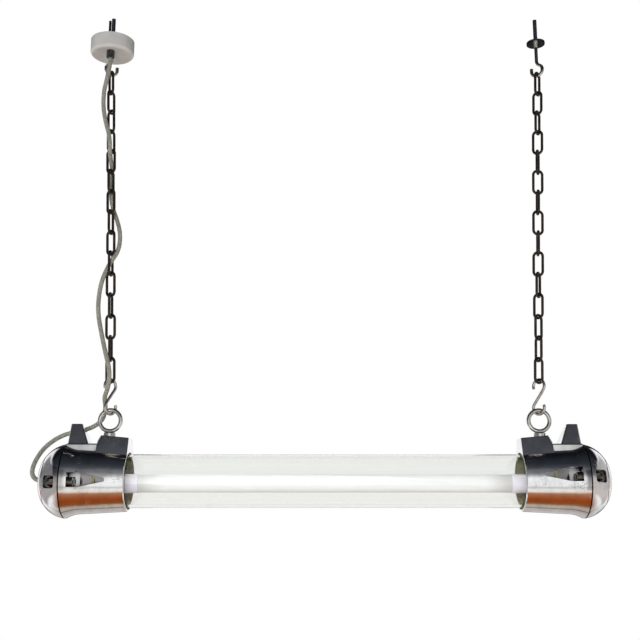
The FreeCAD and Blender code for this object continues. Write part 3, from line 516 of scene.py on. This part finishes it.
# Long cards bent round the lamp, which reflections and soft light meet. Their tones are given by elevation
# from the front, in degrees, each with how much it covers the white surround. Where a card narrows, its
# half width goes from "halfWidth" to "narrow"; its ends fade over "fade".
def card(name, s):
    tones = s["tones"]
    lowest, highest = tones[0][0], tones[-1][0]
    angle = math.radians(lowest)
    y, z = -s["radius"] * math.cos(angle), lampHeight + s["radius"] * math.sin(angle)
    ends = [(-s["halfWidth"], y, z), (s["halfWidth"], y, z)]
    tree, shader = glowingStrip(name, ends, 40, ("camera", "shadow", "transmission"), cent=(0, 0, lampHeight),
                                axis=(-1, 0, 0), angle=math.radians(highest - lowest))
    place = add(tree, "SeparateXYZ", {0: objectSpace(tree, centre=(0, 0, lampHeight))}).outputs
    turn = maths(tree, "ARCTAN2", place[2], maths(tree, "MULTIPLY", place[1], -1.0))
    ramp = add(tree, "ValToRGB", {0: between(tree, turn, math.radians(lowest), math.radians(highest))})
    stops = ramp.color_ramp.elements
    while len(stops) < len(tones):
        stops.new(1.0)
    for stop, (degrees, colour, cover) in zip(stops, tones):
        stop.position = (degrees - lowest) / (highest - lowest)
        stop.color = (*colour, cover)
    narrowFrom, narrowTo = (math.radians(degrees) for degrees in s["narrows"])
    reach = between(tree, turn, narrowFrom, narrowTo, s["halfWidth"], s["narrow"])
    edge = maths(tree, "SUBTRACT", reach, maths(tree, "ABSOLUTE", place[0]))
    cover = maths(tree, "MULTIPLY", ramp.outputs[1], between(tree, edge, 0.0, s["fade"]))
    wire(tree, shader, {"Emission Color": ramp.outputs[0], "Alpha": cover})


navy = (0.008, 0.012, 0.022)
soot = (0.01, 0.01, 0.012)
card("upperCard", {
    "radius": 1.3, "halfWidth": 2.0, "narrows": (95, 140), "narrow": 1.1, "fade": 0.25,
    "tones": [(8, navy, 0), (14, navy, 0.3), (20, navy, 0.6), (27, navy, 0.8), (36, navy, 0.84),
              (47, navy, 0.95), (60, navy, 0.98), (100, (0.006, 0.007, 0.009), 1), (132, soot, 1),
              (137, soot, 0)]})
card("lowerCard", {
    "radius": 1.3, "halfWidth": 1.7, "narrows": (-180, 180), "narrow": 1.7, "fade": 0.8,
    "tones": [(-178, (0.7, 0.66, 0.65), 0), (-150, (0.6, 0.56, 0.545), 1), (-119, (0.5, 0.46, 0.43), 1),
              (-115, (0.1, 0.08, 0.06), 1), (-111, (0.5, 0.44, 0.4), 1), (-98, (0.5, 0.4, 0.33), 1),
              (-93, (0.3, 0.16, 0.09), 1), (-86, (0.24, 0.08, 0.025), 1), (-70, (0.33, 0.06, 0.009), 1),
              (-56, (0.38, 0.12, 0.05), 1), (-45, (0.45, 0.21, 0.12), 1), (-39, (0.85, 0.6, 0.4), 0.6),
              (-31, (0.9, 0.85, 0.7), 0.1), (-24, (0.15, 0.15, 0.13), 0.45), (-18, (0.15, 0.15, 0.13), 0)]})


# Upright strips round the back and the ends, which draw the dark edges of the rings and hooks and the grey
# of the domes. Their angles are from behind the lamp; low and high are heights.
def uprightStrip(name, s):
    angle = math.radians(s["fromAngle"])
    ends = [(s["side"] * s["radius"] * math.sin(angle), s["radius"] * math.cos(angle), z)
            for z in (s["low"], s["high"])]
    tree, shader = glowingStrip(name, ends, 12, ("camera", "diffuse", "shadow", "transmission"),
                                cent=(0, 0, 0), axis=(0, 0, -s["side"]),
                                angle=math.radians(s["toAngle"] - s["fromAngle"]))
    place = add(tree, "SeparateXYZ", {0: objectSpace(tree)}).outputs
    turn = maths(tree, "ARCTAN2", maths(tree, "ABSOLUTE", place[0]), place[1])
    start, end, fade = (math.radians(s[key]) for key in ("fromAngle", "toAngle", "fade"))
    sides = maths(tree, "MULTIPLY", between(tree, turn, start, start + fade),
                  between(tree, turn, end, end - fade))
    edges = maths(tree, "MULTIPLY", between(tree, place[2], s["low"], s["low"] + s["heightFade"]),
                  between(tree, place[2], s["high"], s["high"] - s["heightFade"]))
    tone = between(tree, place[2], lampHeight - 0.5, lampHeight + 0.5)
    wire(tree, shader, {"Emission Color": blendColours(tree, tone, s["lowColour"], s["highColour"]),
                        "Alpha": maths(tree, "MULTIPLY", sides, edges)})


for label, side, low, high in (("Left", -1, (0.42, 0.39, 0.38), (0.2, 0.195, 0.2)),
                               ("Right", 1, (0.6, 0.56, 0.54), (0.5, 0.49, 0.47))):
    uprightStrip("back" + label, {"side": side, "radius": 1.25, "fromAngle": 20, "toAngle": 50, "fade": 2,
                                  "low": -1.2, "high": 0.6, "heightFade": 0.3,
                                  "lowColour": (0.02, 0.02, 0.022), "highColour": (0.02, 0.02, 0.022)})
    uprightStrip("end" + label, {"side": side, "radius": 2.3, "fromAngle": 55, "toAngle": 165, "fade": 12,
                                 "low": -2.2, "high": 1.0, "heightFade": 0.3,
                                 "lowColour": low, "highColour": high})
print("stage set")
